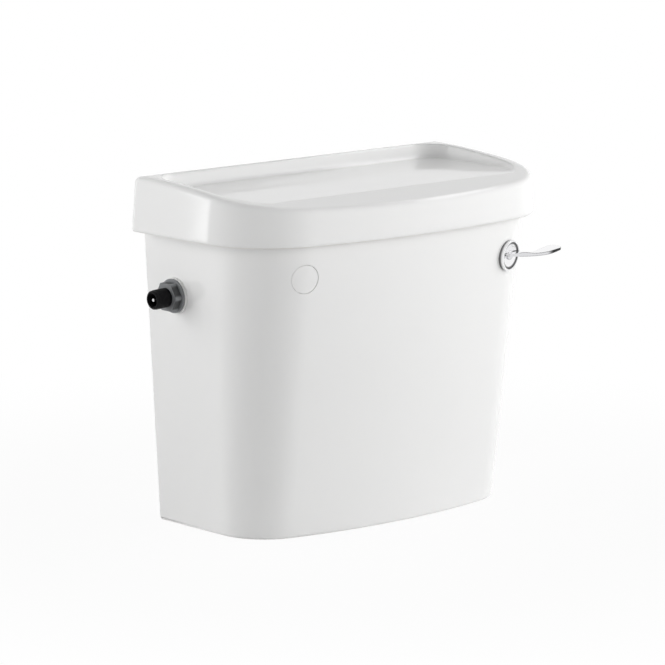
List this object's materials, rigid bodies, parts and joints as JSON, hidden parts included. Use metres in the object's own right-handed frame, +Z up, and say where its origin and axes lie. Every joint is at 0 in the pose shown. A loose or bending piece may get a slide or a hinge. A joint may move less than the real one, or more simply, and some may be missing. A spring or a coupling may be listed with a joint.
{
  "type": "toilet cistern",
  "caption": "White close coupled toilet cistern with a lift-off tray lid, front flush lever, piston siphon and side inlet float valve.",
  "frame": {"origin": "axis of the flush outlet, in the plane that the foot stands on", "axes": "+Z up, +X towards the lever's side, +Y towards the wall"},
  "size_m": [0.4745, 0.2262, 0.3854],
  "materials": {
    "china": "white glazed vitreous china, glossy",
    "chrome": "polished chrome plate",
    "black_plastic": "black moulded plastic, satin",
    "grey_plastic": "grey moulded plastic, satin",
    "white_plastic": "white moulded plastic, satin gloss",
    "rubber": "black rubber",
    "steel": "plain stainless steel",
    "brass": "plain brass"
  },
  "bodies": {
    "tank": {"cistern_tank": "china", "lever_plate": "chrome", "lever_bush": "white_plastic", "lever_washer": "rubber", "lever_backnut": "white_plastic", "blanking_plug": "white_plastic", "blanking_plug_nut": "white_plastic", "siphon_body": "white_plastic", "siphon_crown": "white_plastic", "siphon_leg": "white_plastic", "siphon_washer": "rubber", "siphon_backnut": "white_plastic", "siphon_base_ring": "white_plastic", "inlet_washer": "white_plastic", "inlet_backnut": "grey_plastic", "inlet_seal": "rubber", "inlet_valve_body": "black_plastic", "inlet_strainer": "steel", "valve_diaphragm": "rubber", "valve_end_cap": "white_plastic", "valve_union_nut": "grey_plastic", "valve_spout": "white_plastic", "float_pivot_pin": "brass"},
    "lid": {"lid": "china"},
    "lever": {"lever_handle": "chrome", "lever_spindle": "brass", "lever_inner_arm": "brass", "lever_arm_screw": "steel"},
    "piston": {"piston_plate": "white_plastic", "piston_flap": "rubber", "piston_flap_washer": "white_plastic", "piston_nut": "brass", "piston_rod": "white_plastic", "lift_link": "steel"},
    "float": {"float": "white_plastic", "float_arm": "white_plastic", "level_screw": "brass", "level_screw_nut": "brass"},
    "plunger": {"valve_plunger": "white_plastic"}
  },
  "joints": [
    {"name": "lid_lift", "type": "slide", "parent": "tank", "child": "lid", "axis": [0, 0, 1], "range_m": [0, 0.12]},
    {"name": "flush_lever", "type": "hinge", "parent": "tank", "child": "lever", "pos_m": [0.1494, -0.10527, 0.2832], "axis": [-0.2569, 0.9606, 0.1065], "range_deg": [0, 30]},
    {"name": "piston_lift", "type": "slide", "parent": "tank", "child": "piston", "axis": [0, 0, 1], "range_m": [0, 0.0311]},
    {"name": "float_swing", "type": "hinge", "parent": "tank", "child": "float", "pos_m": [-0.13759, 0.044, 0.25292], "axis": [0, -1, 0], "range_deg": [0, 25]},
    {"name": "plunger_press", "type": "slide", "parent": "tank", "child": "plunger", "axis": [-0.9983, 0, -0.0584], "range_m": [0, 0.00456]}
  ],
  "couplings": [
    {"joint": "piston_lift", "follows": "flush_lever", "m_per_rad": 0.05825},
    {"joint": "plunger_press", "follows": "float_swing", "m_per_rad": 0.01}
  ]
}
